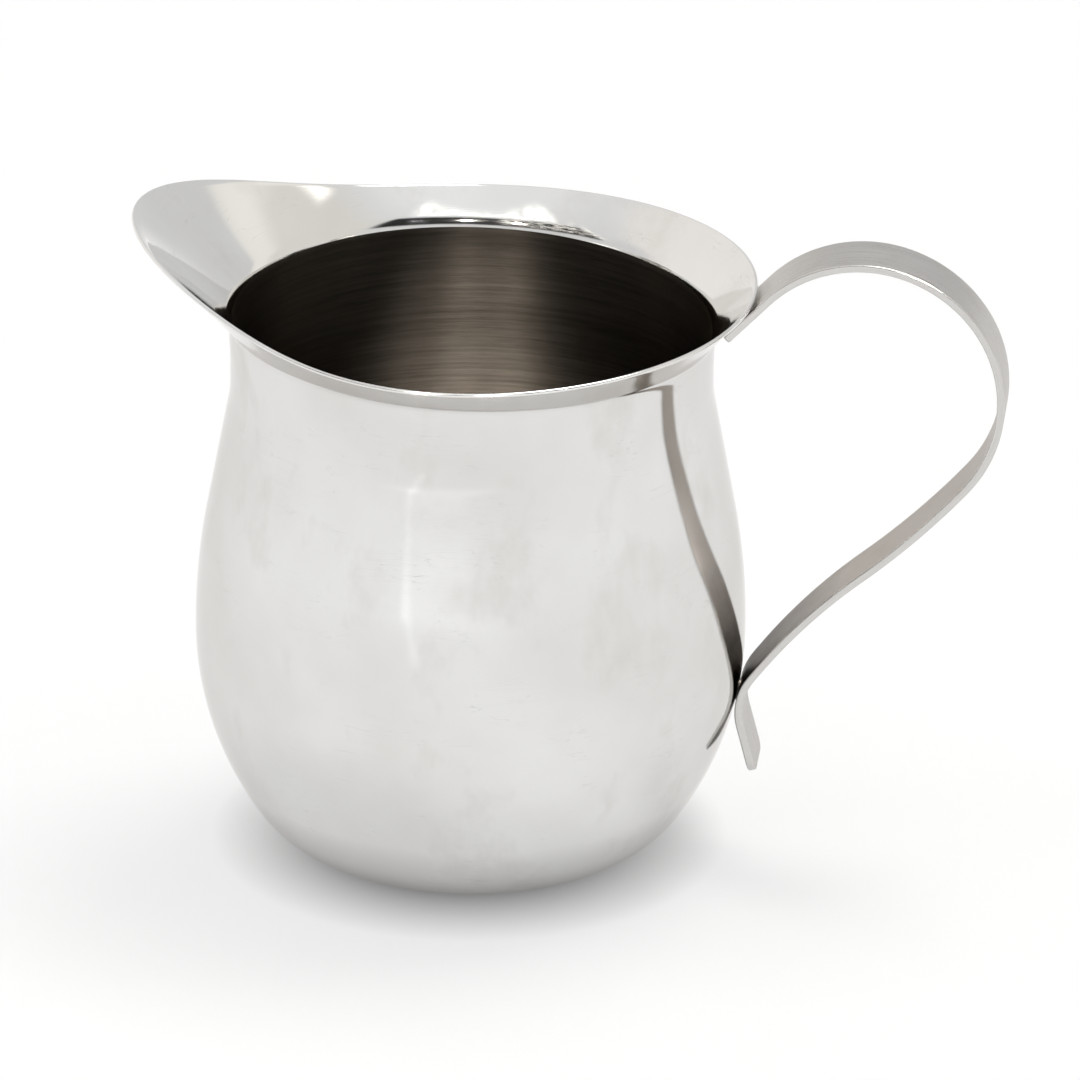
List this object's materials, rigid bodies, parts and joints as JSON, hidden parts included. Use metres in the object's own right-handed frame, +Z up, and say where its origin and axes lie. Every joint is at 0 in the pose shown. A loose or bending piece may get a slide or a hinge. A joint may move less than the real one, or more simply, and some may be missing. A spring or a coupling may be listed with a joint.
{
  "type": "cream jug",
  "caption": "Bell-shaped polished metal cream jug with a flared rim drawn out to a spout and a bent flat-strap handle spot-welded on.",
  "frame": {"origin": "centre of the flat underside, on the axis of the round body", "axes": "+Z up along the body axis, +X towards the handle, -X towards the spout, the XZ plane is the plane of symmetry"},
  "size_m": [0.117, 0.074, 0.089],
  "materials": {
    "body": "unplated stainless steel sheet, mirror-polished outside and on the lip, finely brushed around the inside",
    "handle": "satin stainless steel strip with bright deburred edges",
    "weld": "resistance spot weld, slightly darkened"
  },
  "bodies": {
    "root": {"body": "body", "handle": "handle", "upper_weld": "weld", "lower_weld": "weld"}
  },
  "joints": []
}
